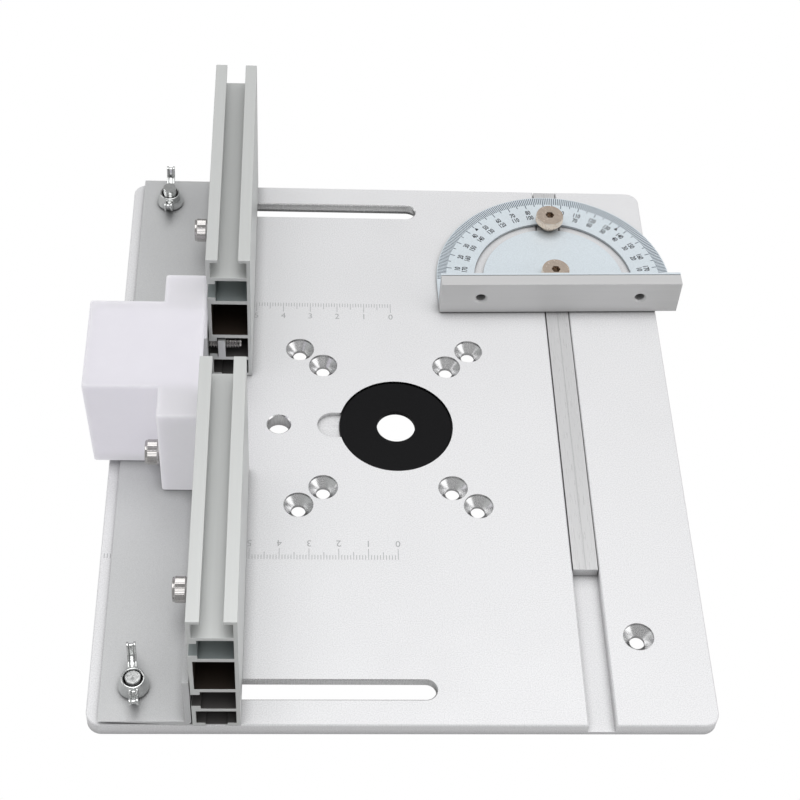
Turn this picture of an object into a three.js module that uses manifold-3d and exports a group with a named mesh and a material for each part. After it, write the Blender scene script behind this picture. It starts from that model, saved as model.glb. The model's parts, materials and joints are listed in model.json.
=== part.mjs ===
// A small router table: an aluminium insert plate with a bit opening and reducer ring, a two-part
// T-slotted fence on a sliding bracket with a dust hood, and a mitre gauge whose rail runs in a
// groove. Millimetres, +Z up. The origin is the centre of the bit opening on the plate's underside,
// X runs to the right across the plate and Y runs to the back, along the fence and the groove.
import * as THREE from 'three';
import { mergeVertices } from 'three/addons/utils/BufferGeometryUtils.js';
import Module from 'manifold-3d';

const wasm = await Module();
wasm.setup();

// ---- driving dimensions -------------------------------------------------------------------------

const GAP = 0.3;                  // clearance left between pieces that touch
const TAU = 2 * Math.PI;

const PLATE_X = 200;
const PLATE_Y = 240;
const PLATE_T = 6;
const PLATE_CORNER_R = 5;
const PLATE_BEVEL = 0.4;

const RING_R = 20;                // reducer ring
const RING_T = 2;
const RING_HOLE_R = 6.8;
const RING_RECESS = 0.5;          // how far its top lies below the plate's top
const BORE_R = 17;                // opening below the ring's ledge
const NOTCH_W = 11;               // finger notch at the ring's left
const NOTCH_REACH = 28;
const NOTCH_DEPTH = 1.8;

const SLOT_Y = 107.2;             // the two slots that the fence bolts run in
const SLOT_R = 3.45;
const SLOT_X0 = -89;
const SLOT_X1 = 6.75;
const SLOT_STEP_R = 5.2;          // wider on the underside, so that the bolt heads lie inside the plate
const SLOT_STEP_DEPTH = 3;

const ROUTER_HOLES_X = -3.4;      // middle of the router's two rectangles of holes
const ROUTER_HOLES = [[22.5, 27.5], [31, 35.1]];
const CORNER_HOLE = [77.3, 87.2];
const HOLE_R = 2.5;
const SINK_R = 5.15;              // countersink, sunk a little below the plate's top
const SINK_STEP = 1;
const RELIEF_R = 3.6;             // where the hole widens at the plate's underside
const RELIEF_DEPTH = 1.1;
const PIN_HOLE_X = -41.6;
const PIN_HOLE_R = 4;

const GROOVE_X = 62.3;
const GROOVE_W = 9;
const GROOVE_DEPTH = 4;

const FENCE_W = 15;               // fence extrusion
const FENCE_H = 60;
const FENCE_LENGTH = 100;
const FENCE_FACE_X = -51.6;
const FRONT_FENCE_Y0 = -120.2;
const REAR_FENCE_Y0 = 22;
const WALL = 1.3;
const LIP = 1.4;                  // lips of the top and bottom slots
const SLOT_OPENING = 6.8;         // every T-slot's mouth
const SIDE_LIP = 2.9;             // lips of the side slots
const TOP_CAVITY = [1.4, 8.7];    // heights, the same from the top down as from the bottom up
const SIDE_CAVITY = [10.2, 20.4];
const BOX_CAVITY_Z0 = 22;

const SHEET_T = 2;                // fence bracket
const BRACKET_X0 = -95.9;
const BRACKET_Y = 120;
const FLANGE_TOP = 31.8;
const WINDOW_HALF = 17;           // opening in the flange, in front of the hood's mouth

const HOOD_Z1 = 49;               // dust hood
const HOOD_WALL = 2.5;
const HOOD_INNER_X = -80.9;       // where the wide part steps to the narrow part
const HOOD_OUTER_X = -106;
const HOOD_WIDE = 31.6;
const HOOD_NARROW = 19.2;
const HOOD_CORNER_R = 1;
const PORT_R = 16;                // hose port

const SCREW_R = 2.45;             // M5 screws and bolts
const CLEAR_R = 2.75;             // hole around one
const CAP_R = 4.3;
const CAP_H = 5;
const FENCE_SCREW_Y = 80;
const HOOD_SCREW_Y = 25;
const SCREW_HEIGHT = 15.3;        // screw axis above the fence's base
const NUT_T = 2.6;
const NUT_LENGTH = 8;
const NUT_HEIGHT = 9;
const SCREW_PAST_NUT = 5.5;

const BOLT_X = -85.4;             // slot bolts and wing nuts
const BOLT_Y = 107.7;
const BOLT_TOP = { front: 14.3, rear: 16.8 };
const BOLT_HEAD_R = 4.6;
const BOLT_HEAD_T = 2.2;
const WING_REACH = 11.4;
const WING_T = 3;

const RAIL_W = 8.4;               // mitre gauge
const RAIL_Y0 = -61;
const RAIL_LENGTH = 180.4;
const PIVOT_Y = 70.3;
const SET_DEG = 1.5;              // the head stands this far off square
const HEAD_R = 45;
const HEAD_T = 1;
const ARC_R = 28.9;               // clamp slot, centred on the pivot
const ARC_HALF_W = 1.75;
const ARM_T = 4.7;                // the gauge's fence bar
const ARM_FRONT = -15.4;          // its front face, from the pivot
const ARM_TOP = 21.8;
const ARM_SCREW_X = 30;
const ARM_SCREW_Z = 14.2;
const SMALL_SCREW_R = 1.45;       // M3
const SMALL_CLEAR_R = 1.75;
const KNOB_R = 5.3;
const KNOB_H = 6.3;
const KNOB_DISC_T = 3.3;          // the wide part, on a narrower boss
const KNOB_BOSS_R = 3;

// places worked out from them
const ON_PLATE = PLATE_T + GAP;
const FENCE_BACK_X = FENCE_FACE_X - FENCE_W;
const FLANGE_X1 = FENCE_BACK_X - GAP;
const FLANGE_X0 = FLANGE_X1 - SHEET_T;
const SHEET_TOP = ON_PLATE + SHEET_T;
const HOOD_Z0 = SHEET_TOP + GAP;
const SCREW_Z = ON_PLATE + SCREW_HEIGHT;
const HEAD_TOP = ON_PLATE + HEAD_T;

// ---- materials ----------------------------------------------------------------------------------

function paint(color, metalness, roughness) {
  return new THREE.MeshStandardMaterial({ color, metalness, roughness });
}

const BLASTED = paint(0xd9dadc, 0.8, 0.45);
const BRUSHED = paint(0xb3b5b6, 0.85, 0.4);
const ANODISED = paint(0xcdd0ce, 0.8, 0.4);
const PHENOLIC = paint(0x151515, 0, 0.4);
const MILKY = paint(0xe0deea, 0, 0.5);
const ZINC = paint(0xd5d6d6, 1, 0.2);
const STEEL = paint(0xa8aaab, 0.9, 0.3);
const SATIN_BLUE = paint(0xd3dde6, 0.6, 0.35);
const NICKEL = paint(0xcdb8a4, 1, 0.25);

// ---- shape helpers ------------------------------------------------------------------------------

// A closed manifold-3d solid from a three.js geometry, whichever way its faces were wound.
function solid(geometry) {
  const bare = geometry.index ? geometry.toNonIndexed() : geometry.clone();
  bare.deleteAttribute('normal');
  bare.deleteAttribute('uv');
  const merged = mergeVertices(bare, 1e-4);
  const points = merged.attributes.position;
  const corners = [];
  let volume = 0;
  for (let i = 0; i < merged.index.count; i += 3) {
    const [a, b, c] = [0, 1, 2].map((k) => merged.index.getX(i + k));
    if (a === b || b === c || c === a) continue;
    corners.push([a, b, c]);
    const [p, q, r] = [a, b, c].map((k) => new THREE.Vector3().fromBufferAttribute(points, k));
    volume += p.dot(q.cross(r));
  }
  const wound = volume < 0 ? corners.map(([a, b, c]) => [a, c, b]) : corners;
  return new wasm.Manifold(new wasm.Mesh({
    numProp: 3,
    vertProperties: new Float32Array(points.array),
    triVerts: new Uint32Array(wound.flat()),
  }));
}

function geometryOf(manifold) {
  const mesh = manifold.getMesh();
  const geometry = new THREE.BufferGeometry();
  geometry.setAttribute('position', new THREE.BufferAttribute(mesh.vertProperties, 3));
  geometry.setIndex(new THREE.BufferAttribute(mesh.triVerts, 1));
  geometry.computeVertexNormals();
  return geometry;
}

function cut(body, ...tools) {
  return tools.reduce((left, tool) => left.subtract(tool), body);
}

function join(...bodies) {
  return bodies.reduce((all, body) => all.add(body));
}

// A closed outline from points, drawn counterclockwise or clockwise.
function outline(points) {
  return new THREE.Shape(points.map(([x, y]) => new THREE.Vector2(x, y)));
}

// A rectangle, its corners rounded.
function roundedRectangle(x0, x1, y0, y1, r) {
  const shape = new THREE.Shape();
  shape.absarc(x1 - r, y0 + r, r, -TAU / 4, 0);
  shape.absarc(x1 - r, y1 - r, r, 0, TAU / 4);
  shape.absarc(x0 + r, y1 - r, r, TAU / 4, TAU / 2);
  shape.absarc(x0 + r, y0 + r, r, TAU / 2, 0.75 * TAU);
  return shape;
}

// A straight slot with round ends, along X.
function slotOutline(x0, x1, y, r) {
  const shape = new THREE.Shape();
  shape.absarc(x1, y, r, -TAU / 4, TAU / 4);
  shape.absarc(x0, y, r, TAU / 4, 0.75 * TAU);
  return shape;
}

// An outline in the X-Y plane raised from z0 to z1.
function upright(shape, z0, z1, curveSegments = 12) {
  const options = { depth: z1 - z0, bevelEnabled: false, curveSegments };
  return new THREE.ExtrudeGeometry(shape, options).translate(0, 0, z0);
}

// An outline in the X-Z plane run from y0 to y1.
function alongY(shape, y0, y1, curveSegments = 12) {
  const options = { depth: y1 - y0, bevelEnabled: false, curveSegments };
  return new THREE.ExtrudeGeometry(shape, options).rotateX(TAU / 4).translate(0, y1, 0);
}

function block(x0, x1, y0, y1, z0, z1) {
  const box = new THREE.BoxGeometry(x1 - x0, y1 - y0, z1 - z0);
  return solid(box.translate((x0 + x1) / 2, (y0 + y1) / 2, (z0 + z1) / 2));
}

// A solid of revolution about +Z from [radius, height] points that start and end on the axis.
function turned(profile, segments = 32) {
  const points = profile.map(([r, z]) => new THREE.Vector2(r, z));
  return new THREE.LatheGeometry(points, segments).rotateX(TAU / 4);
}

function rod(r, z0, z1, segments = 32) {
  return turned([[0, z0], [r, z0], [r, z1], [0, z1]], segments);
}

// A hexagonal socket, across its flats, sunk from z1 down to z0.
function hexSocket(flats, z0, z1) {
  return solid(rod(flats / Math.sqrt(3), z0, z1, 6));
}

// ---- insert plate and ring ----------------------------------------------------------------------

// A bevelled edge runs round the plate and every hole in it.
function plateBlank() {
  const shape = roundedRectangle(-PLATE_X / 2, PLATE_X / 2, -PLATE_Y / 2, PLATE_Y / 2, PLATE_CORNER_R);
  for (const side of [-1, 1]) shape.holes.push(slotOutline(SLOT_X0, SLOT_X1, side * SLOT_Y, SLOT_R));
  const pinHole = new THREE.Path();
  pinHole.absarc(PIN_HOLE_X, 0, PIN_HOLE_R, 0, TAU);
  shape.holes.push(pinHole);
  const geometry = new THREE.ExtrudeGeometry(shape, {
    depth: PLATE_T - 2 * PLATE_BEVEL,
    bevelSize: PLATE_BEVEL,
    bevelThickness: PLATE_BEVEL,
    bevelOffset: -PLATE_BEVEL,
    bevelSegments: 1,
    curveSegments: 12,
  });
  return solid(geometry.translate(0, 0, PLATE_BEVEL));
}

function countersunkHole(x, y) {
  const sinkDepth = SINK_STEP + SINK_R - HOLE_R;
  const profile = [
    [0, -1],
    [RELIEF_R, -1],
    [RELIEF_R, 0],
    [HOLE_R, RELIEF_DEPTH],
    [HOLE_R, PLATE_T - sinkDepth],
    [SINK_R, PLATE_T - SINK_STEP],
    [SINK_R, PLATE_T + 1],
    [0, PLATE_T + 1],
  ];
  return solid(turned(profile, 28).translate(x, y, 0));
}

function plateHoles() {
  const places = [];
  for (const sx of [-1, 1]) {
    for (const sy of [-1, 1]) {
      for (const [x, y] of ROUTER_HOLES) places.push([ROUTER_HOLES_X + sx * x, sy * y]);
      places.push([sx * CORNER_HOLE[0], sy * CORNER_HOLE[1]]);
    }
  }
  return places.map(([x, y]) => countersunkHole(x, y));
}

// The bit opening: a through bore, the ring's ledge above it and the finger notch beside it.
function bitOpening() {
  const ledge = PLATE_T - RING_RECESS - RING_T - GAP;
  const bore = rod(BORE_R, -1, PLATE_T + 1, 72);
  const seat = rod(RING_R + GAP, ledge, PLATE_T + 1, 96);
  const notchR = NOTCH_W / 2;
  const notchPlan = slotOutline(-NOTCH_REACH + notchR, 0, 0, notchR);
  const notch = upright(notchPlan, PLATE_T - NOTCH_DEPTH, PLATE_T + 1);
  return join(solid(bore), solid(seat), solid(notch));
}

function slotSteps() {
  return [-1, 1].map((side) => {
    const shape = slotOutline(SLOT_X0, SLOT_X1, side * SLOT_Y, SLOT_STEP_R);
    return solid(upright(shape, -1, SLOT_STEP_DEPTH));
  });
}

function mitreGroove() {
  const half = GROOVE_W / 2;
  const floor = PLATE_T - GROOVE_DEPTH;
  const section = outline([
    [GROOVE_X - half, floor],
    [GROOVE_X + half, floor],
    [GROOVE_X + half, PLATE_T - PLATE_BEVEL],
    [GROOVE_X + half + 1 + PLATE_BEVEL, PLATE_T + 1],
    [GROOVE_X - half - 1 - PLATE_BEVEL, PLATE_T + 1],
    [GROOVE_X - half, PLATE_T - PLATE_BEVEL],
  ]);
  return solid(alongY(section, -PLATE_Y, PLATE_Y));
}

function basePlate() {
  return cut(plateBlank(), bitOpening(), mitreGroove(), ...slotSteps(), ...plateHoles());
}

function reducerRing() {
  const z1 = PLATE_T - RING_RECESS;
  const z0 = z1 - RING_T;
  const edge = 0.3;
  const profile = [[0, z0], [RING_R, z0], [RING_R, z1 - edge], [RING_R - edge, z1], [0, z1]];
  return cut(solid(turned(profile, 96)), solid(rod(RING_HOLE_R, 0, PLATE_T + 1, 48)));
}

// ---- fence --------------------------------------------------------------------------------------

// The extrusion's section, from its back face at x = 0 and its base at z = 0: T-slots in the top,
// the bottom and twice in the back, and one closed box in the middle.
function fenceSection() {
  const mouth0 = (FENCE_W - SLOT_OPENING) / 2;
  const mouth1 = mouth0 + SLOT_OPENING;
  const inner = FENCE_W - WALL;
  const sideMouth = (SIDE_CAVITY[0] + SIDE_CAVITY[1] - SLOT_OPENING) / 2;
  const bottomSlot = [
    [mouth0, 0],
    [mouth0, LIP],
    [WALL, TOP_CAVITY[0]],
    [WALL, TOP_CAVITY[1]],
    [inner, TOP_CAVITY[1]],
    [inner, TOP_CAVITY[0]],
    [mouth1, LIP],
    [mouth1, 0],
  ];
  const sideSlot = [
    [0, sideMouth],
    [SIDE_LIP, sideMouth],
    [SIDE_LIP, SIDE_CAVITY[0]],
    [inner, SIDE_CAVITY[0]],
    [inner, SIDE_CAVITY[1]],
    [SIDE_LIP, SIDE_CAVITY[1]],
    [SIDE_LIP, sideMouth + SLOT_OPENING],
    [0, sideMouth + SLOT_OPENING],
  ];
  const raised = (points) => points.map(([x, z]) => [x, FENCE_H - z]);
  const shape = outline([
    [0, 0],
    ...bottomSlot,
    [FENCE_W, 0],
    [FENCE_W, FENCE_H],
    ...raised(bottomSlot).reverse(),
    [0, FENCE_H],
    ...raised(sideSlot),
    ...sideSlot.slice().reverse(),
  ]);
  const boxCavity = outline([
    [WALL, BOX_CAVITY_Z0],
    [inner, BOX_CAVITY_Z0],
    [inner, FENCE_H - BOX_CAVITY_Z0],
    [WALL, FENCE_H - BOX_CAVITY_Z0],
  ]);
  shape.holes.push(boxCavity);
  return shape;
}

function fenceHalf(y0) {
  const run = alongY(fenceSection(), y0, y0 + FENCE_LENGTH);
  return solid(run.translate(FENCE_BACK_X, 0, ON_PLATE));
}

// ---- fence bracket and dust hood ----------------------------------------------------------------

// A folded angle: the sheet lies on the plate and its flange stands behind the fence.
function fenceBracket() {
  const bendR = 2.2;
  const section = new THREE.Shape();
  section.moveTo(BRACKET_X0, ON_PLATE);
  section.absarc(FLANGE_X1 - bendR, ON_PLATE + bendR, bendR, -TAU / 4, 0);
  section.lineTo(FLANGE_X1, FLANGE_TOP);
  section.lineTo(FLANGE_X0, FLANGE_TOP);
  section.lineTo(FLANGE_X0, SHEET_TOP);
  section.lineTo(BRACKET_X0, SHEET_TOP);
  const angle = solid(alongY(section, -BRACKET_Y, BRACKET_Y, 6));
  const bitWindow = block(
    FLANGE_X0 - 1, FLANGE_X1 + 1, -WINDOW_HALF, WINDOW_HALF, SHEET_TOP, FLANGE_TOP + 1);
  const boltHoles = [-1, 1].map((side) => {
    const bore = rod(CLEAR_R, ON_PLATE - 1, SHEET_TOP + 1);
    return solid(bore.translate(BOLT_X, side * BOLT_Y, 0));
  });
  const screwHoles = [-FENCE_SCREW_Y, -HOOD_SCREW_Y, HOOD_SCREW_Y, FENCE_SCREW_Y].map((y) => {
    const bore = rod(CLEAR_R, FLANGE_X0 - 1, FLANGE_X1 + 1).rotateY(TAU / 4);
    return solid(bore.translate(0, y, SCREW_Z));
  });
  return cut(angle, bitWindow, ...boltHoles, ...screwHoles);
}

// The hood's plan steps from its wide mouth, which the two hood screws hold, to a narrow box that
// overhangs the plate and carries the hose port.
function hoodPlan() {
  const r = HOOD_CORNER_R;
  const shape = new THREE.Shape();
  shape.moveTo(FLANGE_X1, -HOOD_WIDE);
  shape.lineTo(FLANGE_X1, HOOD_WIDE);
  shape.absarc(HOOD_INNER_X + r, HOOD_WIDE - r, r, TAU / 4, TAU / 2);
  shape.lineTo(HOOD_INNER_X, HOOD_NARROW);
  shape.absarc(HOOD_OUTER_X + r, HOOD_NARROW - r, r, TAU / 4, TAU / 2);
  shape.absarc(HOOD_OUTER_X + r, -HOOD_NARROW + r, r, TAU / 2, 0.75 * TAU);
  shape.lineTo(HOOD_INNER_X, -HOOD_NARROW);
  shape.absarc(HOOD_INNER_X + r, -HOOD_WIDE + r, r, TAU / 2, 0.75 * TAU);
  return shape;
}

function dustHood() {
  const body = solid(upright(hoodPlan(), HOOD_Z0, HOOD_Z1, 4));
  const flangeRelief = block(
    FLANGE_X0 - GAP, FLANGE_X1 + 1, -HOOD_WIDE - 1, HOOD_WIDE + 1, HOOD_Z0 - 1, FLANGE_TOP + GAP);
  const inner = HOOD_NARROW - HOOD_WALL;
  const passage = block(
    HOOD_OUTER_X + HOOD_WALL, FLANGE_X1 + 1, -inner, inner, HOOD_Z0 + HOOD_WALL, HOOD_Z1 - HOOD_WALL);
  const portZ = (HOOD_Z0 + HOOD_Z1) / 2;
  const portBore = rod(PORT_R, HOOD_OUTER_X - 1, HOOD_OUTER_X + HOOD_WALL + 1, 48).rotateY(TAU / 4);
  const port = solid(portBore.translate(0, 0, portZ));
  const screwHoles = [-1, 1].map((side) => {
    const bore = rod(CLEAR_R, HOOD_INNER_X - 1, FLANGE_X1 + 1, 24).rotateY(TAU / 4);
    return solid(bore.translate(0, side * HOOD_SCREW_Y, SCREW_Z));
  });
  return cut(body, flangeRelief, passage, port, ...screwHoles);
}

// ---- fence fasteners ----------------------------------------------------------------------------

// A socket cap screw along +X. Its head's underside is at x = seat and it ends past the T-nut.
function capScrew(seat, y) {
  const tip = FENCE_BACK_X + SIDE_LIP + GAP + NUT_T + SCREW_PAST_NUT;
  const edge = 0.4;
  const profile = [
    [0, seat - CAP_H],
    [CAP_R - edge, seat - CAP_H],
    [CAP_R, seat - CAP_H + edge],
    [CAP_R, seat],
    [SCREW_R, seat],
    [SCREW_R, tip - edge],
    [SCREW_R - edge, tip],
    [0, tip],
  ];
  const blank = solid(turned(profile, 28));
  const screw = geometryOf(cut(blank, hexSocket(4, seat - CAP_H - 1, seat - CAP_H + 2.6)));
  return screw.rotateY(TAU / 4).translate(0, y, SCREW_Z);
}

function tNut(y) {
  const x0 = FENCE_BACK_X + SIDE_LIP + GAP;
  const half = NUT_LENGTH / 2;
  const rise = NUT_HEIGHT / 2;
  const plate = block(x0, x0 + NUT_T, y - half, y + half, SCREW_Z - rise, SCREW_Z + rise);
  const bore = rod(CLEAR_R, x0 - 1, x0 + NUT_T + 1, 28).rotateY(TAU / 4);
  return cut(plate, solid(bore.translate(0, y, SCREW_Z)));
}

// The bolt's flat head lies in the wide lower half of the slot, and its shank stands up through it.
function slotBolt(top) {
  const seat = SLOT_STEP_DEPTH - GAP;
  const edge = 0.4;
  const profile = [
    [0, seat - BOLT_HEAD_T],
    [BOLT_HEAD_R, seat - BOLT_HEAD_T],
    [BOLT_HEAD_R, seat],
    [SCREW_R, seat],
    [SCREW_R, top - edge],
    [SCREW_R - edge, top],
    [0, top],
  ];
  return turned(profile, 28);
}

// A round hub with two upswept wings along Y.
function wingNut() {
  const z0 = SHEET_TOP + GAP;
  const hubTop = 14;
  const hub = solid(turned([[0, z0], [5, z0], [5, z0 + 1.2], [4.3, z0 + 4], [3.8, hubTop], [0, hubTop]], 32));
  const wing = new THREE.Shape();
  wing.moveTo(0, z0 + 0.4);
  wing.lineTo(4.6, z0 + 0.4);
  wing.quadraticCurveTo(7.5, z0 + 2.2, WING_REACH - 0.6, 12.4);
  wing.absarc(WING_REACH - 1.5, 16.5, 1.5, 0, TAU / 2);
  wing.quadraticCurveTo(8, 13.2, 4.2, hubTop - 0.6);
  wing.lineTo(0, hubTop - 0.6);
  const blade = new THREE.ExtrudeGeometry(wing, { depth: WING_T, bevelEnabled: false, curveSegments: 6 });
  blade.rotateX(TAU / 4).translate(0, WING_T / 2, 0);
  const blades = [TAU / 4, -TAU / 4].map((turn) => solid(blade.clone().rotateZ(turn)));
  return cut(join(hub, ...blades), solid(rod(CLEAR_R, 0, hubTop + 1, 28)));
}

// ---- mitre gauge --------------------------------------------------------------------------------

function mitreRail() {
  const half = RAIL_W / 2;
  const z0 = PLATE_T - GROOVE_DEPTH + GAP;
  const y1 = RAIL_Y0 + RAIL_LENGTH;
  const bar = block(GROOVE_X - half, GROOVE_X + half, RAIL_Y0, y1, z0, PLATE_T);
  const screwHoles = [PIVOT_Y, PIVOT_Y + ARC_R].map((y) => {
    const bore = rod(SMALL_CLEAR_R, 0, PLATE_T + 1, 24);
    return solid(bore.translate(GROOVE_X, y, 0));
  });
  return cut(bar, ...screwHoles);
}

// The pieces below are drawn about the pivot, with the gauge square to the rail.

// Holes along Y through the arm or the head's flange, one at each arm screw.
function armScrewHoles() {
  return [-1, 1].map((side) => {
    const bore = rod(SMALL_CLEAR_R, -20, 0, 20).rotateX(-TAU / 4);
    return solid(bore.translate(side * ARM_SCREW_X, 0, ARM_SCREW_Z));
  });
}

// A half-round sheet with a clamp slot, folded up along its straight edge into a flange.
function mitreHead() {
  const flangeFront = ARM_FRONT + ARM_T + GAP;
  const plan = new THREE.Shape();
  plan.moveTo(-HEAD_R, flangeFront);
  plan.lineTo(HEAD_R, flangeFront);
  plan.absarc(0, 0, HEAD_R, 0, TAU / 2);
  const arc = new THREE.Path();
  arc.absarc(0, 0, ARC_R + ARC_HALF_W, 0, TAU / 2);
  arc.absarc(-ARC_R, 0, ARC_HALF_W, TAU / 2, TAU);
  arc.absarc(0, 0, ARC_R - ARC_HALF_W, TAU / 2, 0, true);
  arc.absarc(ARC_R, 0, ARC_HALF_W, TAU / 2, TAU);
  plan.holes.push(arc);
  const pivotHole = new THREE.Path();
  pivotHole.absarc(0, 0, SMALL_CLEAR_R, 0, TAU);
  plan.holes.push(pivotHole);
  const sheet = solid(upright(plan, ON_PLATE, HEAD_TOP, 40));
  const flange = block(-HEAD_R, HEAD_R, flangeFront, flangeFront + HEAD_T, ON_PLATE, ARM_TOP);
  return cut(join(sheet, flange), ...armScrewHoles());
}

function mitreArm() {
  const bar = block(-HEAD_R, HEAD_R, ARM_FRONT, ARM_FRONT + ARM_T, ON_PLATE + 0.6, ARM_TOP);
  const edge = 0.7;
  const rims = [-1, 1].map((side) => {
    const cone = turned([[0, -1], [SMALL_CLEAR_R + edge + 1, -1], [SMALL_CLEAR_R, edge], [0, edge]], 20);
    cone.rotateX(-TAU / 4).translate(side * ARM_SCREW_X, ARM_FRONT, ARM_SCREW_Z);
    return solid(cone);
  });
  return cut(bar, ...armScrewHoles(), ...rims);
}

// A pan-head screw that holds the arm from behind the flange.
function armScrew(x) {
  const seat = ARM_FRONT + ARM_T + GAP + HEAD_T + GAP;
  const tip = ARM_FRONT + 3.4;
  const profile = [
    [0, seat + 1.9],
    [2, seat + 1.9],
    [2.8, seat + 1.2],
    [2.8, seat],
    [SMALL_SCREW_R, seat],
    [SMALL_SCREW_R, tip],
    [0, tip],
  ];
  const blank = solid(turned(profile, 20));
  const screw = geometryOf(cut(blank, hexSocket(2, seat + 0.7, seat + 3)));
  return screw.rotateX(-TAU / 4).translate(x, 0, ARM_SCREW_Z);
}

// A round finger screw with a hexagonal socket, threaded into the rail.
function fingerScrew() {
  const seat = HEAD_TOP + GAP;
  const top = seat + KNOB_H;
  const disc = top - KNOB_DISC_T;
  const edge = 0.5;
  const profile = [
    [0, PLATE_T - GROOVE_DEPTH + 0.6],
    [SMALL_SCREW_R, PLATE_T - GROOVE_DEPTH + 0.6],
    [SMALL_SCREW_R, seat],
    [KNOB_BOSS_R, seat],
    [KNOB_BOSS_R, disc],
    [KNOB_R - edge, disc],
    [KNOB_R, disc + edge],
    [KNOB_R, top - edge],
    [KNOB_R - edge, top],
    [0, top],
  ];
  return cut(solid(turned(profile, 36)), hexSocket(3, top - 3, top + 1));
}

// ---- assembly -----------------------------------------------------------------------------------

function piece(name, shape, material) {
  const geometry = shape.isBufferGeometry ? shape : geometryOf(shape);
  const mesh = new THREE.Mesh(geometry, material);
  mesh.name = name;
  return mesh;
}

function placed(mesh, x, y, z = 0) {
  mesh.position.set(x, y, z);
  return mesh;
}

function plateGroup() {
  const group = new THREE.Group();
  group.add(piece('base_plate', basePlate(), BLASTED));
  group.add(piece('reducer_ring', reducerRing(), PHENOLIC));
  return group;
}

function fenceGroup() {
  const group = new THREE.Group();
  group.add(piece('fence_bracket', fenceBracket(), BRUSHED));
  group.add(piece('dust_hood', dustHood(), MILKY));
  group.add(piece('front_fence', fenceHalf(FRONT_FENCE_Y0), ANODISED));
  group.add(piece('rear_fence', fenceHalf(REAR_FENCE_Y0), ANODISED));
  const onFlange = FLANGE_X0 - GAP;
  const onHood = HOOD_INNER_X - GAP;
  for (const [end, side] of [['front', -1], ['rear', 1]]) {
    group.add(piece(`fence_screw_${end}`, capScrew(onFlange, side * FENCE_SCREW_Y), ZINC));
    group.add(piece(`hood_screw_${end}`, capScrew(onHood, side * HOOD_SCREW_Y), ZINC));
    group.add(piece(`fence_t_nut_${end}`, tNut(side * FENCE_SCREW_Y), STEEL));
    group.add(piece(`hood_t_nut_${end}`, tNut(side * HOOD_SCREW_Y), STEEL));
    group.add(placed(piece(`slot_bolt_${end}`, slotBolt(BOLT_TOP[end]), ZINC), BOLT_X, side * BOLT_Y));
    group.add(placed(piece(`wing_nut_${end}`, wingNut(), ZINC), BOLT_X, side * BOLT_Y));
  }
  return group;
}

function mitreGroup() {
  const group = new THREE.Group();
  group.add(piece('mitre_rail', mitreRail(), STEEL));
  group.add(placed(piece('mitre_pivot_screw', fingerScrew(), NICKEL), GROOVE_X, PIVOT_Y));
  group.add(placed(piece('mitre_clamp_screw', fingerScrew(), NICKEL), GROOVE_X, PIVOT_Y + ARC_R));
  const head = new THREE.Group();
  head.position.set(GROOVE_X, PIVOT_Y, 0);
  head.rotation.z = THREE.MathUtils.degToRad(SET_DEG);
  head.add(piece('mitre_head', mitreHead(), SATIN_BLUE));
  head.add(piece('mitre_arm', mitreArm(), ANODISED));
  head.add(piece('mitre_arm_screw_left', armScrew(-ARM_SCREW_X), ZINC));
  head.add(piece('mitre_arm_screw_right', armScrew(ARM_SCREW_X), ZINC));
  group.add(head);
  return group;
}

const routerTable = new THREE.Group();
routerTable.add(plateGroup(), fenceGroup(), mitreGroup());

export default routerTable;
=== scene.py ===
"""Looks of a small router table: insert plate, split T-slot fence, dust hood and mitre gauge.

Lengths are in millimetres, and every mesh is scaled to metres when it's made. Only the lights and
the floor are in metres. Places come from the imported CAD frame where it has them.
"""

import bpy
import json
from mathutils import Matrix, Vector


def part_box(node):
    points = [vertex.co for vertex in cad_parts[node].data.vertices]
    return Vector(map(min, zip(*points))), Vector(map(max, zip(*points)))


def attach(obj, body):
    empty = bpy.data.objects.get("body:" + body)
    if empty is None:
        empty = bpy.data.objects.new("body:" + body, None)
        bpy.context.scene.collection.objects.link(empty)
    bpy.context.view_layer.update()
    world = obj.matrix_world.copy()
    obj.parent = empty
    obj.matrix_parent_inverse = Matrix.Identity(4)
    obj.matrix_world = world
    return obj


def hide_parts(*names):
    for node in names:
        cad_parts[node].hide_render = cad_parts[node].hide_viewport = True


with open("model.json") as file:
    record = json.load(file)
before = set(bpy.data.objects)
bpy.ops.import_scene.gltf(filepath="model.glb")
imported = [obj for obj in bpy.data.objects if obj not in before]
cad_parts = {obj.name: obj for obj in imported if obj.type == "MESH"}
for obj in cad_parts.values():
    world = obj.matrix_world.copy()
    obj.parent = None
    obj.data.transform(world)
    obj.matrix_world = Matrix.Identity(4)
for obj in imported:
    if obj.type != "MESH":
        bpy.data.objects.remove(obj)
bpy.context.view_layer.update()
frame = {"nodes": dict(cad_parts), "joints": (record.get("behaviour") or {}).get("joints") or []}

import json
import math

import bmesh
import bpy
from mathutils import Matrix, Vector

MM = 0.001
TAU = 2 * math.pi
QUARTER = TAU / 4
ALONG_X, ALONG_Y, ALONG_Z = 0, 1, 2


def box_mm(node):
    """Lowest and highest corner of a CAD node, in millimetres."""
    low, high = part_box(node)
    return low / MM, high / MM


def on_axis(node, z=0.0):
    """A place on the upright line through the middle of a CAD node."""
    low, high = box_mm(node)
    return (low.x + high.x) / 2, (low.y + high.y) / 2, z


# ---- sizes and places ----------------------------------------------------------------------------

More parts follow.
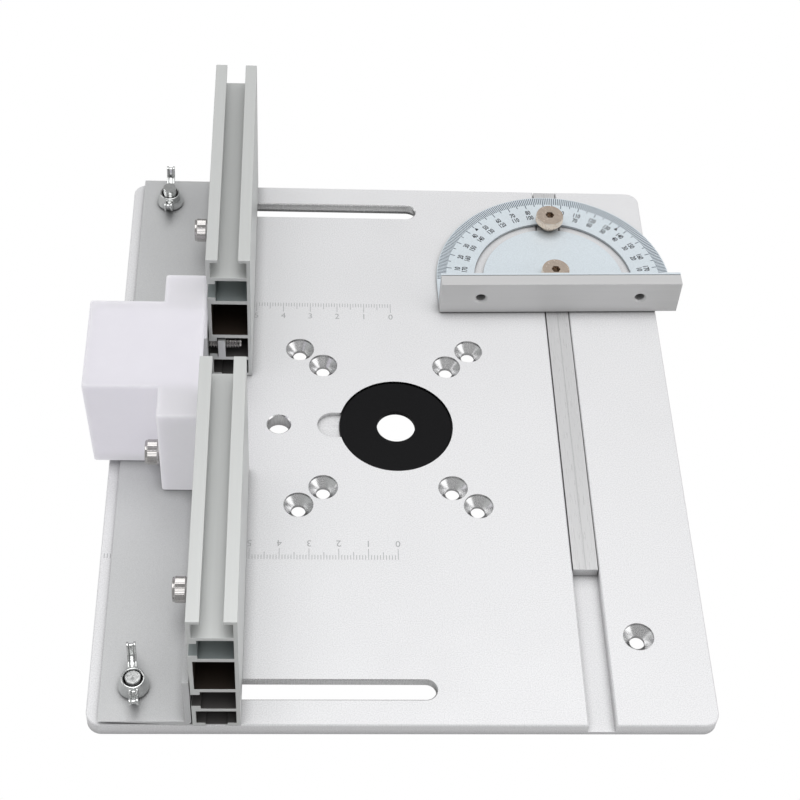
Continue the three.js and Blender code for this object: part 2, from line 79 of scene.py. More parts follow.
PLATE_HIGH = box_mm("base_plate")[1]
PLATE_TOP = PLATE_HIGH.z
BRACKET_HIGH = box_mm("fence_bracket")[1]
FLANGE_T = 2                      # the bracket's upright flange
GAP = 0.3                         # left between the hood and the flange
HOOD_LOW, HOOD_HIGH = box_mm("dust_hood")
JOINTS = {joint["name"]: joint for joint in frame["joints"]}
PIVOT = Vector(JOINTS["mitre_swivel"]["pos_m"]) / MM
HEAD_TOP = PLATE_TOP + 1.3        # upper face of the gauge's protractor
HEAD_TURN = 1.5                   # degrees that the gauge stands off square

M5_R = 2.45                       # shanks of the cap screws and slot bolts
M5_HOLE_R = 2.75
M3_R = 1.45                       # shanks of the gauge's screws
CAP_THREAD = (M5_R, 0.95, 0.55)   # a thread's radius, pitch and depth
BOLT_THREAD = (M5_R, 0.8, 0.42)
M3_THREAD = (M3_R, 0.5, 0.26)
RIDGE_STEPS = 4                   # segments in one ridge of a knurl
KNURLED = 48 * RIDGE_STEPS        # segments round a knurled head

# Depths below a fence half's top, each 0.3 mm outside the cavity that it bounds.
SIDE_SLOT_TOP = 9.9
CORE_TOP = 21.7
CORE_BOTTOM = 38.3

HOOD_STEP_X = -80.9               # where the hood's wide mouth steps to its narrow box
HOOD_NARROW = 19.2                # half the narrow box's width
HOOD_WALL = 2.5
HOOD_DRAFT = 1.2                  # how far the outer wall leans in at the bottom
HOOD_PORT_R = 16
HOOD_SCREW_Y = 25

MARK_T = 0.02                     # thickness of printed and engraved marks
FONT_PER_DIGIT = 1.38             # font size over the height of its digits
RULER_ZERO_X = -0.7
RULER_LENGTH = 98
RULER_LINES = ((-57.6, 1), (58.1, -1))  # each ruler's base line in Y, and which way its ticks point


# ---- camera, light and floor ---------------------------------------------------------------------

def add_camera():
    """The photograph's viewpoint, solved from the plate's rulers, edges and holes."""
    data = bpy.data.cameras.new("camera")
    data.lens = 80.1
    data.sensor_width = 36
    data.clip_start = 0.01
    data.clip_end = 20
    camera = bpy.data.objects.new("camera", data)
    pan = Matrix.Rotation(math.radians(-5.287), 4, "Z")
    tilt = Matrix.Rotation(math.radians(39.34), 4, "X")
    roll = Matrix.Rotation(math.radians(4.769), 4, "Z")
    place = Matrix.Translation(Vector((-35.7, -393.0, 501.8)) * MM)
    camera.matrix_world = place @ pan @ tilt @ roll
    bpy.context.scene.collection.objects.link(camera)
    bpy.context.scene.camera = camera


def add_softbox(name, place, size, power):
    """A square light, aimed at the bit opening."""
    data = bpy.data.lights.new(name, "AREA")
    data.shape = "SQUARE"
    data.size = size
    data.energy = power
    light = bpy.data.objects.new(name, data)
    light.location = place
    light.rotation_euler = (-Vector(place)).to_track_quat("-Z", "Y").to_euler()
    bpy.context.scene.collection.objects.link(light)


def add_studio():
    scene = bpy.context.scene
    scene.view_settings.view_transform = "Standard"
    scene.view_settings.look = "None"
    world = bpy.data.worlds.new("studio")
    world.use_nodes = True
    background = world.node_tree.nodes["Background"]
    background.inputs["Color"].default_value = (1, 1, 1, 1)
    background.inputs["Strength"].default_value = 0.42
    scene.world = world
    add_softbox("top_softbox", (0.05, -0.05, 1.5), 1.5, 15.5)
    add_softbox("left_softbox", (-1.2, 0.2, 0.7), 0.9, 3)
    add_softbox("right_softbox", (1.2, -0.45, 0.5), 0.9, 3)


def add_floor():
    """A pale sheet that the camera sees as evenly lit, so that it stays white in the holes."""
    half_size = 4
    below_plate = 0.0002
    corners = [(x * half_size, y * half_size, 0) for x, y in ((-1, -1), (1, -1), (1, 1), (-1, 1))]
    data = bpy.data.meshes.new("floor")
    data.from_pydata(corners, [], [(0, 1, 2, 3)])
    floor = bpy.data.objects.new("floor", data)
    floor.location.z = -below_plate
    bpy.context.scene.collection.objects.link(floor)
    material = bpy.data.materials.new("floor")
    material.use_nodes = True
    nodes = material.node_tree.nodes
    links = material.node_tree.links
    paper = nodes["Principled BSDF"]
    paper.inputs["Base Color"].default_value = (0.6, 0.6, 0.6, 1)
    paper.inputs["Roughness"].default_value = 0.9
    white = nodes.new("ShaderNodeEmission")
    seen = nodes.new("ShaderNodeLightPath")
    mix = nodes.new("ShaderNodeMixShader")
    links.new(seen.outputs["Is Camera Ray"], mix.inputs["Fac"])
    links.new(paper.outputs["BSDF"], mix.inputs[1])
    links.new(white.outputs["Emission"], mix.inputs[2])
    links.new(mix.outputs["Shader"], nodes["Material Output"].inputs["Surface"])
    data.materials.append(material)


# ---- materials -----------------------------------------------------------------------------------

class Recipe:
    """A Principled material whose colour, roughness and relief come from noise in object space."""

    def __init__(self, name, metallic=0.0, **fixed):
        self.material = bpy.data.materials.new(name)
        self.material.use_nodes = True
        self.nodes = self.material.node_tree.nodes
        self.links = self.material.node_tree.links
        self.shader = self.nodes["Principled BSDF"]
        self.shader.inputs["Metallic"].default_value = metallic
        for socket, value in fixed.items():
            self.shader.inputs[socket.replace("_", " ")].default_value = value
        self.place = self.nodes.new("ShaderNodeTexCoord").outputs["Object"]

    def noise(self, blob, detail=2.0, stretch=(1, 1, 1)):
        """Noise with blobs of about this size, drawn out along an axis by a stretch above 1."""
        mapping = self.nodes.new("ShaderNodeMapping")
        mapping.inputs["Scale"].default_value = [1 / (blob * MM * along) for along in stretch]
        self.links.new(self.place, mapping.inputs["Vector"])
        texture = self.nodes.new("ShaderNodeTexNoise")
        texture.inputs["Scale"].default_value = 1
        texture.inputs["Detail"].default_value = detail
        self.links.new(mapping.outputs["Vector"], texture.inputs["Vector"])
        return texture.outputs["Fac"]

    def ramp(self, value, low, high, start=0.3, end=0.7):
        """Turns a value into a colour or a grey between low and high."""
        ramp = self.nodes.new("ShaderNodeValToRGB")
        for element, place, level in zip(ramp.color_ramp.elements, (start, end), (low, high)):
            element.position = place
            colour = level if isinstance(level, tuple) else (level, level, level)
            element.color = (*colour, 1)
        self.links.new(value, ramp.inputs["Fac"])
        return ramp.outputs["Color"]

    def colour(self, value, low, high):
        self.links.new(self.ramp(value, low, high), self.shader.inputs["Base Color"])

    def grime(self, reach, darkest):
        """Painted shade: darkens the colour in inner corners, narrow gaps and bores, where less
        light reaches.
        """
        base = self.shader.inputs["Base Color"]
        hidden = self.nodes.new("ShaderNodeAmbientOcclusion")
        hidden.samples = 8
        hidden.inputs["Distance"].default_value = reach * MM
        mixer = self.nodes.new("ShaderNodeVectorMath")
        mixer.operation = "MULTIPLY"
        self.links.new(base.links[0].from_socket, mixer.inputs[0])
        self.links.new(self.ramp(hidden.outputs["AO"], darkest, 1.0, 0.15, 0.85), mixer.inputs[1])
        self.links.new(mixer.outputs["Vector"], base)

    def roughness(self, value, low, high):
        self.links.new(self.ramp(value, low, high), self.shader.inputs["Roughness"])

    def bump(self, value, depth):
        bump = self.nodes.new("ShaderNodeBump")
        bump.inputs["Strength"].default_value = 1
        bump.inputs["Distance"].default_value = depth * MM
        self.links.new(value, bump.inputs["Height"])
        self.links.new(bump.outputs["Normal"], self.shader.inputs["Normal"])


def shade(colour, factor):
    return tuple(min(1.0, channel * factor) for channel in colour)


def blasted(name, colour, metallic, grain):
    """Bead-blasted, clear anodised aluminium: an even fine grain with faint speckle, and painted
    shade in corners and gaps.
    """
    recipe = Recipe(name, metallic)
    recipe.colour(recipe.noise(grain, 3), shade(colour, 0.88), shade(colour, 1.1))
    # Painted shade: darker colour within 6 mm of corners and gaps, down to 0.35 of it.
    recipe.grime(6, 0.35)
    recipe.roughness(recipe.noise(14), 0.44, 0.52)
    recipe.bump(recipe.noise(grain * 0.8), 0.012)
    return recipe.material


def drawn(name, colour, axis, metallic, rough, depth=0.006, grime=(6, 0.5)):
    """Brushed or extruded metal, its streaks running along one axis, with painted shade in corners
    and gaps.
    """
    recipe = Recipe(name, metallic)
    stretch = [1, 1, 1]
    stretch[axis] = 60
    fine = recipe.noise(0.12, 2, stretch)
    broad = recipe.noise(1.3, 2, stretch)
    recipe.colour(broad, shade(colour, 0.985), shade(colour, 1.015))
    # Painted shade: darker colour near corners, gaps and bores.
    recipe.grime(*grime)
    recipe.roughness(fine, *rough)
    recipe.bump(fine, depth)
    return recipe.material


def plated(name, colour, rough=(0.08, 0.18), grime=(2.5, 0.12)):
    """Bright plating: a mirror with faint waves and a little cloudiness, and painted shade in
    corners and gaps.
    """
    recipe = Recipe(name, 1.0)
    cloud = recipe.noise(1.1, 3)
    recipe.colour(cloud, shade(colour, 0.94), shade(colour, 1.03))
    # Painted shade: darker colour near corners, gaps and bores.
    recipe.grime(*grime)
    recipe.roughness(cloud, *rough)
    recipe.bump(recipe.noise(0.7), 0.006)
    return recipe.material


def ink(name, colour):
    """Printed or laser-engraved marks."""
    recipe = Recipe(name)
    recipe.colour(recipe.noise(0.15), shade(colour, 0.8), shade(colour, 1.2))
    recipe.roughness(recipe.noise(0.5), 0.5, 0.65)
    return recipe.material


def ring_phenolic():
    """Black moulded plastic, nearly matt."""
    recipe = Recipe("ring_phenolic", Specular_IOR_Level=0.12)
    recipe.colour(recipe.noise(0.5, 3), (0.003, 0.003, 0.0035), (0.006, 0.006, 0.007))
    recipe.roughness(recipe.noise(2), 0.36, 0.45)
    recipe.bump(recipe.noise(0.3), 0.006)
    return recipe.material


def hood_plastic():
    """Milky plastic. Its emission stands in for the light that comes through the walls."""
    recipe = Recipe(
        "hood_plastic", Subsurface_Weight=0.8, Subsurface_Scale=0.015, Emission_Strength=0.4)
    recipe.shader.inputs["Emission Color"].default_value = (0.95, 0.945, 0.985, 1)
    recipe.shader.inputs["Subsurface Radius"].default_value = (1.0, 0.95, 1.1)
    recipe.colour(recipe.noise(9), (0.306, 0.299, 0.3155), (0.32, 0.313, 0.329))
    recipe.roughness(recipe.noise(1.5, 3), 0.42, 0.55)
    recipe.bump(recipe.noise(0.6), 0.008)
    return recipe.material


def make_materials():
    mill = (0.36, 0.46)
    dull = (0.5, 0.6)
    # The last pair given to drawn or plated, where there is one, sets its painted shade in corners:
    # reach in millimetres and darkest factor.
    return {
        "plate": blasted("plate_aluminium", (0.80, 0.80, 0.812), 0.25, 0.4),
        "machined": drawn("machined_aluminium", (0.76, 0.76, 0.765), ALONG_Z, 1.0, (0.2, 0.3),
                          depth=0.002, grime=(5, 0.45)),
        "bracket": blasted("bracket_sheet", (0.57, 0.575, 0.58), 0.3, 0.25),
        "fence": drawn("fence_aluminium", (0.60, 0.612, 0.604), ALONG_Y, 0.3, mill),
        # Painted shade: darker copies of the fence's grey for its slots, cavities and hollow core,
        # standing for the shade inside them.
        "recess": drawn("fence_recess_shade", (0.26, 0.29, 0.29), ALONG_Y, 0.3, (0.45, 0.55)),
        "cavity": drawn("fence_cavity_shade", (0.105, 0.10, 0.098), ALONG_Y, 0.3, dull),
        "bore": drawn("fence_core_shadow", (0.03, 0.02, 0.014), ALONG_Y, 0.2, dull),
        "rail": drawn("rail_steel", (0.66, 0.66, 0.665), ALONG_Y, 0.35, (0.26, 0.36)),
        "arm": drawn("arm_aluminium", (0.59, 0.59, 0.592), ALONG_X, 0.15, mill),
        "gauge": blasted("gauge_aluminium", (0.70, 0.765, 0.81), 0.25, 0.2),
        "zinc": plated("zinc_steel", (0.66, 0.67, 0.665)),
        "screw": plated("screw_steel", (0.54, 0.525, 0.515), (0.12, 0.22), (1.0, 0.5)),
        "nickel": plated("nickel", (0.90, 0.76, 0.64), (0.18, 0.28)),
        "nut": drawn("nut_steel", (0.62, 0.625, 0.63), ALONG_Z, 0.9, (0.3, 0.45), grime=(3, 0.6)),
        "ruler_ink": ink("ruler_engraving", (0.40, 0.40, 0.41)),
        "scale_ink": ink("scale_print", (0.02, 0.022, 0.03)),
        "tick_ink": ink("tick_print", (0.03, 0.05, 0.085)),
        "ring": ring_phenolic(),
        "hood": hood_plastic(),
    }


# ---- mesh helpers --------------------------------------------------------------------------------

def to_object(name, work, material):
    """A new object from a bmesh in millimetres."""
    data = bpy.data.meshes.new(name)
    work.transform(Matrix.Scale(MM, 4))
    bmesh.ops.recalc_face_normals(work, faces=work.faces)
    work.to_mesh(data)
    work.free()
    made = bpy.data.objects.new(name, data)
    bpy.context.scene.collection.objects.link(made)
    data.materials.append(material)
    return made


def cutter(work):
    return to_object("cutter", work, None)


def merge(work, part):
    """Moves one bmesh into another."""
    data = bpy.data.meshes.new("part")
    part.to_mesh(data)
    part.free()
    work.from_mesh(data)
    bpy.data.meshes.remove(data)


def shift(made, place):
    made.data.transform(Matrix.Translation(Vector(place) * MM))


def apply_modifiers(made):
    graph = bpy.context.evaluated_depsgraph_get()
    data = bpy.data.meshes.new_from_object(made.evaluated_get(graph))
    made.modifiers.clear()
    made.data = data


def smooth_by_angle(made, degrees=32):
    """Smooth faces with sharp edges kept, and flat faces left flat by weighted normals."""
    work = bmesh.new()
    work.from_mesh(made.data)
    limit = math.radians(degrees)
    for face in work.faces:
        face.smooth = True
    for edge in work.edges:
        edge.smooth = len(edge.link_faces) == 2 and edge.calc_face_angle(0) < limit
    work.to_mesh(made.data)
    work.free()
    weigh = made.modifiers.new("normals", "WEIGHTED_NORMAL")
    weigh.keep_sharp = True
    weigh.weight = 80


def bevel(made, width, segments, degrees):
    """Eases the edges that are sharper than an angle."""
    edge = made.modifiers.new("bevel", "BEVEL")
    edge.width = width * MM
    edge.segments = segments
    edge.limit_method = "ANGLE"
    edge.angle_limit = math.radians(degrees)
    edge.use_clamp_overlap = True
    apply_modifiers(made)


def subtract(made, *cutters):
    for tool in cutters:
        cut = made.modifiers.new("cut", "BOOLEAN")
        cut.operation = "DIFFERENCE"
        cut.solver = "EXACT"
        cut.object = tool
    bpy.context.view_layer.update()
    apply_modifiers(made)
    for tool in cutters:
        bpy.data.objects.remove(tool)


def settle(made, body, slot, *nodes):
    """Hands a finished piece to its body, in place of the CAD nodes it stands for."""
    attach(made, body)
    if nodes:
        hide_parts(*nodes)


def refined(name, node, material, ease):
    """A CAD node's own shape with its flat faces made whole and its edges eased."""
    same_plane = math.radians(0.5)
    work = bmesh.new()
    work.from_mesh(frame["nodes"][node].data)
    work.transform(Matrix.Scale(1 / MM, 4))
    bmesh.ops.remove_doubles(work, verts=work.verts, dist=0.001)
    bmesh.ops.dissolve_limit(work, angle_limit=same_plane, verts=work.verts, edges=work.edges)
    made = to_object(name, work, material)
    bevel(made, ease, 2, 40)
    smooth_by_angle(made)
    return made


def turned(profile, segments, ridged_r=None, ridge_depth=0.0):
    """A solid of revolution about +Z from [radius, height] points that run from axis to axis. The
    points at the radius ridged_r get a ridge for every RIDGE_STEPS segments."""
    work = bmesh.new()
    rows = []
    for radius, height in profile:
        if radius == 0:
            rows.append([work.verts.new((0, 0, height))])
            continue
        ring = []
        for step in range(segments):
            reach = radius
            if radius == ridged_r:
                reach -= ridge_depth * abs((step % RIDGE_STEPS) / RIDGE_STEPS * 2 - 1)
            angle = TAU * step / segments
            ring.append(work.verts.new((reach * math.cos(angle), reach * math.sin(angle), height)))
        rows.append(ring)
    for low, high in zip(rows, rows[1:]):
        for step in range(segments):
            after = (step + 1) % segments
            lower = [low[step % len(low)], low[after % len(low)]]
            upper = [high[after % len(high)], high[step % len(high)]]
            corners = list(dict.fromkeys(lower + upper))
            if len(corners) > 2:
                work.faces.new(corners)
    return work


def prism(points, z0, z1):
    """An outline in X-Y raised from z0 to z1."""
    work = bmesh.new()
    low = [work.verts.new((x, y, z0)) for x, y in points]
    high = [work.verts.new((x, y, z1)) for x, y in points]
    work.faces.new(low[::-1])
    work.faces.new(high)
    count = len(points)
    for k in range(count):
        after = (k + 1) % count
        work.faces.new((low[k], low[after], high[after], high[k]))
    return work


def circle(radius, count):
    angles = [TAU * k / count for k in range(count)]
    return [(radius * math.cos(angle), radius * math.sin(angle)) for angle in angles]


def block(x0, x1, y0, y1, z0, z1):
    return prism([(x0, y0), (x1, y0), (x1, y1), (x0, y1)], z0, z1)


def rod_along_x(radius, segments, x0, x1, y, z):
    work = prism(circle(radius, segments), x0, x1)
    work.transform(Matrix.Translation((0, y, z)) @ Matrix.Rotation(QUARTER, 4, "Y"))
    return work


def arc(cx, cy, radius, first, last, steps):
    """Points on an arc, its angles in degrees."""
    turns = [math.radians(first + (last - first) * k / steps) for k in range(steps + 1)]
    return [(cx + radius * math.cos(t), cy + radius * math.sin(t)) for t in turns]


def threads(z0, z1, crest, pitch, depth):
    """Rows of a screw thread's profile from z0 to z1, each turn a ring of its own."""
    root = crest - depth
    rows = [(root, z0)]
    z = z0
    while z + pitch <= z1:
        rows += [(root, z + 0.1 * pitch), (crest, z + 0.5 * pitch), (crest, z + 0.6 * pitch)]
        rows.append((root, z + pitch))
        z += pitch
    return rows


# ---- fasteners -----------------------------------------------------------------------------------

def screw(name, material, body, socket, turn, place):
    """A turned body with a hexagonal socket, (width across flats, lower end, upper end), that is
    then turned and put in its place."""
    flats, z0, z1 = socket
    made = to_object(name, body, material)
    subtract(made, cutter(prism(circle(flats / math.sqrt(3), 6), z0, z1)))
    made.data.transform(turn)
    shift(made, place)
    smooth_by_angle(made, 28)
    return made


def cap_screw(node, material):
    """A socket cap screw along +X with a knurled head; its length comes from the CAD node."""
    low, high = box_mm(node)
    length = high.x - low.x
    head_r = (high.y - low.y) / 2
    head_h = 5.0
    profile = [
        (0, 0), (head_r - 0.7, 0), (head_r - 0.45, 0.05), (head_r - 0.25, 0.2),
        (head_r - 0.2, 0.8), (head_r, 1.0), (head_r, head_h - 0.9), (head_r - 0.2, head_h - 0.7),
        (head_r - 0.25, head_h - 0.1), (head_r - 0.4, head_h), (M5_R, head_h),
    ]
    profile += threads(head_h + 0.6, length - 0.5, *CAP_THREAD)
    profile += [(M5_R - 0.6, length), (0, length)]
    body = turned(profile, KNURLED, head_r, 0.12)
    socket = (4, -1, 2.7)
    place = (low.x, (low.y + high.y) / 2, (low.z + high.z) / 2)
    return screw(node, material, body, socket, Matrix.Rotation(QUARTER, 4, "Y"), place)


def finger_screw(node, material):
    """A knurled disc on a narrower boss, with a hexagonal socket, standing on the gauge's head."""
    low, high = box_mm(node)
    disc_r = (high.x - low.x) / 2
    boss_r = 3.0
    top = high.z
    disc = top - 3.3
    seat = top - 6.3
    profile = [(0, low.z), (M3_R - 0.35, low.z), (M3_R, low.z + 0.4)]
    profile += threads(low.z + 0.5, seat - 0.4, *M3_THREAD)
    profile += [
        (M3_R, seat), (boss_r - 0.3, seat), (boss_r, seat + 0.3), (boss_r, disc),
        (disc_r - 0.5, disc), (disc_r, disc + 0.4), (disc_r, top - 0.4), (disc_r - 0.3, top),
        (0, top),
    ]
    body = turned(profile, KNURLED, disc_r, 0.24)
    socket = (3, top - 3, top + 1)
    return screw(node, material, body, socket, Matrix.Identity(4), on_axis(node))


def arm_screw(node, material):
    """A small button-head screw that holds the gauge's arm from behind."""
    low, high = box_mm(node)
    length = 4.8
    head_h = 1.9
    head_r = 2.8
    seat = length - head_h
    profile = [(0, 0), (M3_R, 0)]
    profile += threads(0.3, seat - 0.3, *M3_THREAD)
    profile += [
        (M3_R, seat), (head_r - 0.1, seat), (head_r, seat + 0.3), (2.55, seat + 1.0),
        (1.9, seat + 1.6), (1.3, length), (0, length),
    ]
    swing = math.radians(HEAD_TURN)
    turn = Matrix.Rotation(swing, 4, "Z") @ Matrix.Rotation(-QUARTER, 4, "X")
    start = Matrix.Rotation(swing, 3, "Z") @ Vector((0, -length / 2, 0))
    socket = (2, length - 1.2, length + 1)
    return screw(node, material, turned(profile, 40), socket, turn, (low + high) / 2 + start)


def slot_bolt(node, material):
    """A bolt that stands up through a slot from a round head inside the plate."""
    low, high = box_mm(node)
    base = low.z
    top = high.z
    head_r = 4.6
    head_h = 2.2
    profile = [
        (0, base), (head_r - 0.4, base), (head_r, base + 0.4), (head_r, base + head_h - 0.3),
        (head_r - 0.3, base + head_h), (M5_R, base + head_h),
    ]
    profile += threads(base + head_h + 0.4, top - 0.7, *BOLT_THREAD)
    profile += [(M5_R, top - 0.6), (M5_R, top - 0.22), (M5_R - 0.2, top), (0, top)]
    made = to_object(node, turned(profile, 48), material)
    shift(made, on_axis(node))
    smooth_by_angle(made, 28)
    return made


def wing_outline(inset):
    """Side view of one wing as [reach, height] points, its edges moved in by an inset."""
    under = [(2.0, 0.8), (4.6, 1.0 + inset), (7.2 - inset * 0.6, 2.4 + inset)]
    flank = [(9.7 - inset, 5.0 + inset * 0.6)]
    tip = arc(10.05, 8.1, 1.2 - inset, -25, 155, 10)
    over = [(7.7 + inset * 0.6, 6.1 - inset), (5.8, 4.8 - inset), (2.0, 4.6 - inset)]
    return under + flank + tip + over


def wing_nut(node, material, turn_degrees):
    """Hub and two upswept wings with sunk faces, melted together and smoothed like a casting."""
    hub_h = 5.4
    hub = [
        (0, 0), (4.6, 0), (4.95, 0.4), (4.95, 1.2), (4.75, 2.2), (4.4, 3.4), (4.05, 4.4),
        (3.75, hub_h), (0, hub_h),
    ]
    rim_and_face_layers = ((-1.5, -0.8, 0), (-0.9, 0.9, 0.5), (0.8, 1.5, 0))
    work = turned(hub, 48)
    for side in (-1, 1):
        for first, last, inset in rim_and_face_layers:
            wing = prism(wing_outline(inset), first, last)
            wing.transform(Matrix.Rotation(QUARTER, 4, "X"))
            wing.transform(Matrix.Rotation(side * QUARTER, 4, "Z"))
            merge(work, wing)
    made = to_object(node, work, material)
    melt = made.modifiers.new("melt", "REMESH")
    melt.mode = "VOXEL"
    melt.voxel_size = 0.16 * MM
    ease = made.modifiers.new("ease", "SMOOTH")
    ease.factor = 0.5
    ease.iterations = 6
    apply_modifiers(made)
    bore_r = 2.5
    mouth_r = 3.45
    bore = [
        (0, -1), (bore_r, -1), (bore_r, hub_h - 0.9), (mouth_r, hub_h + 0.1),
        (mouth_r, hub_h + 2), (0, hub_h + 2),
    ]
    subtract(made, cutter(turned(bore, 40)))
    made.data.transform(Matrix.Rotation(math.radians(turn_degrees), 4, "Z"))
    shift(made, on_axis(node, box_mm(node)[0].z))
    smooth_by_angle(made, 50)
    return made


# ---- fence and rail ------------------------------------------------------------------------------

def fence_half(end, materials):
    """One extrusion with painted shade: darker inside its slots and darkest in its hollow core."""
    made = refined(f"fence_{end}", f"{end}_fence", materials["fence"], 0.18)
    inside = {}
    for key in ("recess", "cavity", "bore"):
        made.data.materials.append(materials[key])
        inside[key] = len(made.data.materials) - 1
    low, high = box_mm(f"{end}_fence")
    skin = 0.6
    # Painted shade: faces deep inside get the darker materials, chosen by depth below the top.
    for face in made.data.polygons:
        middle = face.center / MM
        depth = high.z - middle.z
        under_skin = low.x + skin < middle.x < high.x - skin
        on_cut_end = abs(face.normal.y) > 0.3
        if on_cut_end or not under_skin:
            continue
        if CORE_TOP < depth < CORE_BOTTOM:
            face.material_index = inside["bore"]
        elif depth > CORE_BOTTOM and middle.z > low.z + 0.3:
            face.material_index = inside["cavity"]
        elif SIDE_SLOT_TOP < depth <= CORE_TOP:
            face.material_index = inside["recess"]
    return made


def slot_strip(end, material):
    """A thin dark strip that closes the mouth of the fence's bottom slot: a painted shadow where
    the mouth lies in shade.
    """
    low, high = box_mm(f"{end}_fence")
    middle = (low.x + high.x) / 2
    half_width = 3.35
    end_gap = 0.4
    work = block(middle - half_width, middle + half_width, low.y + end_gap, high.y - end_gap,
                 low.z + 0.15, low.z + 0.45)
    return to_object(f"slot_strip_{end}", work, material)


def gauge_rail(material):
    """The sliding bar, scribed along the middle of its top."""
    made = refined("gauge_rail", "mitre_rail", material, 0.25)
    low, high = box_mm("mitre_rail")
    middle = (low.x + high.x) / 2
    half_width = 0.18
    depth = 0.12
    scribe = block(middle - half_width, middle + half_width, low.y - 1, high.y + 1,
                   high.z - depth, high.z + 1)
    subtract(made, cutter(scribe))
    smooth_by_angle(made)
    return made


# ---- dust hood -----------------------------------------------------------------------------------

def hood_shell(material):
    """The hood as a solid block: a wide mouth stepping to a narrow box with a leaning end wall."""
    x0, x1 = HOOD_LOW.x, HOOD_HIGH.x
    z0, z1 = HOOD_LOW.z, HOOD_HIGH.z
    wide = HOOD_HIGH.y
    plan = [
        (x1, -wide), (x1, wide), (HOOD_STEP_X, wide), (HOOD_STEP_X, HOOD_NARROW),
        (x0, HOOD_NARROW), (x0, -HOOD_NARROW), (HOOD_STEP_X, -HOOD_NARROW), (HOOD_STEP_X, -wide),
    ]
    made = to_object("dust_hood", prism(plan, z0, z1), material)
    bevel(made, 0.9, 4, 60)
    for vertex in made.data.vertices:
        outward = max(0, HOOD_STEP_X - vertex.co.x / MM) / (HOOD_STEP_X - x0)
        drop = (z1 - vertex.co.z / MM) / (z1 - z0)
        vertex.co.x += HOOD_DRAFT * MM * outward * drop
    return made


def dust_hood(material):
    """A milky shell over the bracket's flange, with a round hose port and two screw holes."""
    made = hood_shell(material)
    x0, x1 = HOOD_LOW.x, HOOD_HIGH.x
    z0, z1 = HOOD_LOW.z, HOOD_HIGH.z
    past = 5
    wide = HOOD_HIGH.y + past
    flange_back = BRACKET_HIGH.x - FLANGE_T - GAP
    flange_room = block(flange_back, x1 + past, -wide, wide, z0 - past, BRACKET_HIGH.z + GAP)
    inner = HOOD_NARROW - HOOD_WALL
    hollow = block(x0 + HOOD_WALL, x1 + past, -inner, inner, z0 + HOOD_WALL, z1 - HOOD_WALL)
    subtract(made, cutter(flange_room), cutter(hollow))
    port = rod_along_x(HOOD_PORT_R, 72, x0 - 4, x0 + 4, 0, (z0 + z1) / 2)
    screw_low, screw_high = box_mm("hood_screw_front")
    height = (screw_low.z + screw_high.z) / 2
    holes = [
        rod_along_x(M5_HOLE_R, 32, HOOD_STEP_X - 3, x1 + 3, side * HOOD_SCREW_Y, height)
        for side in (-1, 1)
    ]
    subtract(made, cutter(port), *map(cutter, holes))
    bevel(made, 0.3, 2, 60)
    smooth_by_angle(made, 30)
    return made


# ---- engraved and printed marks ------------------------------------------------------------------

def add_mark(work, matrix, mark):
    """A thin flat shape, placed by a matrix whose z = 0 lies on the marked surface."""
    mark.transform(matrix)
    merge(work, mark)


def add_number(work, matrix, number, height, squeeze=1.0, weight=0.0):
    """Digits of this height, centred on the matrix's origin, narrowed by squeeze."""
    curve = bpy.data.curves.new("digits", "FONT")
    curve.body = str(number)
    curve.size = height * FONT_PER_DIGIT
    curve.align_x = "CENTER"
    curve.align_y = "CENTER"
    curve.resolution_u = 3
    curve.extrude = MARK_T / 2
    curve.offset = weight
    holder = bpy.data.objects.new("digits", curve)
    bpy.context.scene.collection.objects.link(holder)
    bpy.context.view_layer.update()
    graph = bpy.context.evaluated_depsgraph_get()
    data = bpy.data.meshes.new_from_object(holder.evaluated_get(graph))
    narrow = Matrix.Diagonal((squeeze, 1, 1, 1))
    data.transform(matrix @ Matrix.Translation((0, 0, MARK_T / 2)) @ narrow)
    work.from_mesh(data)
    bpy.data.objects.remove(holder)


def graded(count, ten, five, one):
    """The value for a tick that is a multiple of ten, of five, or of neither."""
    if count % 10 == 0:
        return ten
    if count % 5 == 0:
        return five
    return one


def plate_rulers(material):
    """Two engraved millimetre rulers, counting to the left from the bit opening."""
    half_width = 0.1
    number_from_line = 6.6
    work = bmesh.new()
    for base_y, side in RULER_LINES:
        for tick in range(RULER_LENGTH + 1):
            at = Matrix.Translation((RULER_ZERO_X - tick, base_y, PLATE_TOP))
            y0, y1 = sorted((0, side * graded(tick, 4.4, 3.0, 1.8)))
            add_mark(work, at, block(-half_width, half_width, y0, y1, 0, MARK_T))
        turn = Matrix.Rotation(math.pi if side > 0 else 0, 4, "Z")
        number_y = base_y + side * number_from_line
        for number in range(RULER_LENGTH // 10 + 1):
            at = Matrix.Translation((RULER_ZERO_X - 10 * number, number_y, PLATE_TOP))
            add_number(work, at @ turn, number, 2.6)
    return to_object("plate_rulers", work, material)


def on_protractor(degrees):
    """The protractor's upper face, with the pivot at the origin and X pointing at an angle."""
    at = Matrix.Translation((PIVOT.x, PIVOT.y, HEAD_TOP))
    head = Matrix.Rotation(math.radians(HEAD_TURN), 4, "Z")
    return at @ head @ Matrix.Rotation(math.radians(degrees), 4, "Z")


def scale_ticks(material):
    """A tick for each degree in the rim, with longer ones every 5 and 10 degrees."""
    outer = 44.7
    half_width = 0.145
    work = bmesh.new()
    for degree in range(2, 179):
        inner = graded(degree, 39.4, 40.2, 41.3)
        mark = block(inner, outer, -half_width, half_width, 0, MARK_T)
        add_mark(work, on_protractor(degree), mark)
    return to_object("scale_ticks", work, material)


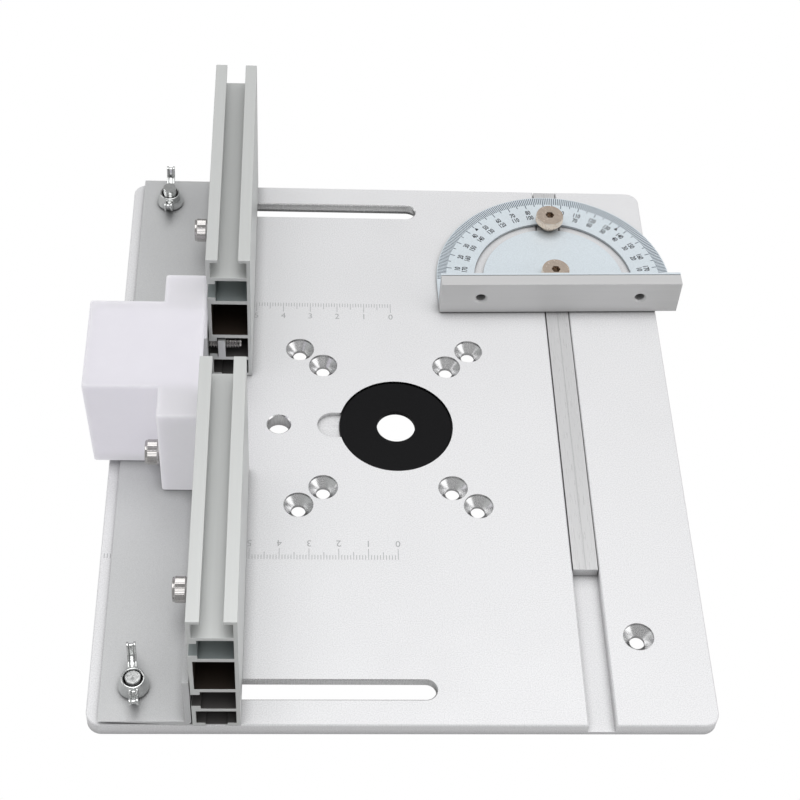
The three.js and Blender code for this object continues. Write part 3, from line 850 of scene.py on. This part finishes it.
def scale_numbers(material):
    """Two rows of angles, counting opposite ways, with a mark at each half right angle."""
    outer_row, inner_row = 37.1, 34.3
    work = bmesh.new()
    for degree in range(10, 171, 10):
        for radius, number in ((outer_row, 180 - degree), (inner_row, degree)):
            at = on_protractor(degree - 90) @ Matrix.Translation((0, radius, 0))
            add_number(work, at, number, 2.15, 0.68, 0.07)
    for degree in (45, 135):
        arrow = prism([(38.4, -0.75), (40.0, 0), (38.4, 0.75)], 0, MARK_T)
        add_mark(work, on_protractor(degree), arrow)
    return to_object("scale_numbers", work, material)


# ---- assembly ------------------------------------------------------------------------------------

def insert_plate(materials):
    """The plate, blasted all over but bright inside the holes and slots, which were cut later."""
    ease = 0.12
    made = refined("insert_plate", "base_plate", materials["plate"], ease)
    made.data.materials.append(materials["machined"])
    for face in made.data.polygons:
        middle = face.center / MM
        from_edge = min(PLATE_HIGH.x - abs(middle.x), PLATE_HIGH.y - abs(middle.y))
        in_groove = abs(middle.x - PIVOT.x) < 5
        is_wall = abs(face.normal.z) < 0.95 and middle.z < PLATE_TOP - ease - 0.01
        if is_wall and from_edge > 2.5 and not in_groove:
            face.material_index = 1
    return made


def build_plate(materials):
    plate = insert_plate(materials)
    settle(plate, "plate", "plate_aluminium", "base_plate")
    ring = refined("insert_ring", "reducer_ring", materials["ring"], 0.12)
    settle(ring, "plate", "ring_phenolic", "reducer_ring")
    settle(plate_rulers(materials["ruler_ink"]), "plate", "plate_aluminium")


def build_fence(materials):
    bracket = refined("bracket", "fence_bracket", materials["bracket"], 0.2)
    settle(bracket, "fence_carriage", "bracket_sheet", "fence_bracket")
    settle(dust_hood(materials["hood"]), "fence_carriage", "hood_plastic", "dust_hood")
    wing_turn = {"front": 6, "rear": 0}
    for end in ("front", "rear"):
        half = fence_half(end, materials)
        settle(half, f"{end}_fence", "fence_aluminium", f"{end}_fence")
        settle(slot_strip(end, materials["cavity"]), f"{end}_fence", "fence_aluminium")
        for kind in ("fence", "hood"):
            node = f"{kind}_screw_{end}"
            settle(cap_screw(node, materials["screw"]), "fence_carriage", "zinc_steel", node)
            node = f"{kind}_t_nut_{end}"
            nut = refined(f"{kind}_nut_{end}", node, materials["nut"], 0.25)
            settle(nut, "fence_carriage", "nut_steel", node)
        node = f"slot_bolt_{end}"
        settle(slot_bolt(node, materials["zinc"]), "fence_carriage", "zinc_steel", node)
        node = f"wing_nut_{end}"
        settle(wing_nut(node, materials["zinc"], wing_turn[end]), node, "zinc_steel", node)


def build_mitre_gauge(materials):
    settle(gauge_rail(materials["rail"]), "mitre_rail", "rail_steel", "mitre_rail")
    for node in ("mitre_pivot_screw", "mitre_clamp_screw"):
        settle(finger_screw(node, materials["nickel"]), node, "nickel", node)
    head = refined("gauge_head", "mitre_head", materials["gauge"], 0.15)
    settle(head, "mitre_head", "gauge_aluminium", "mitre_head")
    arm = refined("gauge_arm", "mitre_arm", materials["arm"], 0.35)
    settle(arm, "mitre_head", "arm_aluminium", "mitre_arm")
    for side in ("left", "right"):
        node = f"mitre_arm_screw_{side}"
        settle(arm_screw(node, materials["zinc"]), "mitre_head", "zinc_steel", node)
    settle(scale_ticks(materials["tick_ink"]), "mitre_head", "gauge_aluminium")
    settle(scale_numbers(materials["scale_ink"]), "mitre_head", "gauge_aluminium")


add_camera()
add_studio()
add_floor()
MATERIALS = make_materials()
build_plate(MATERIALS)
build_fence(MATERIALS)
build_mitre_gauge(MATERIALS)
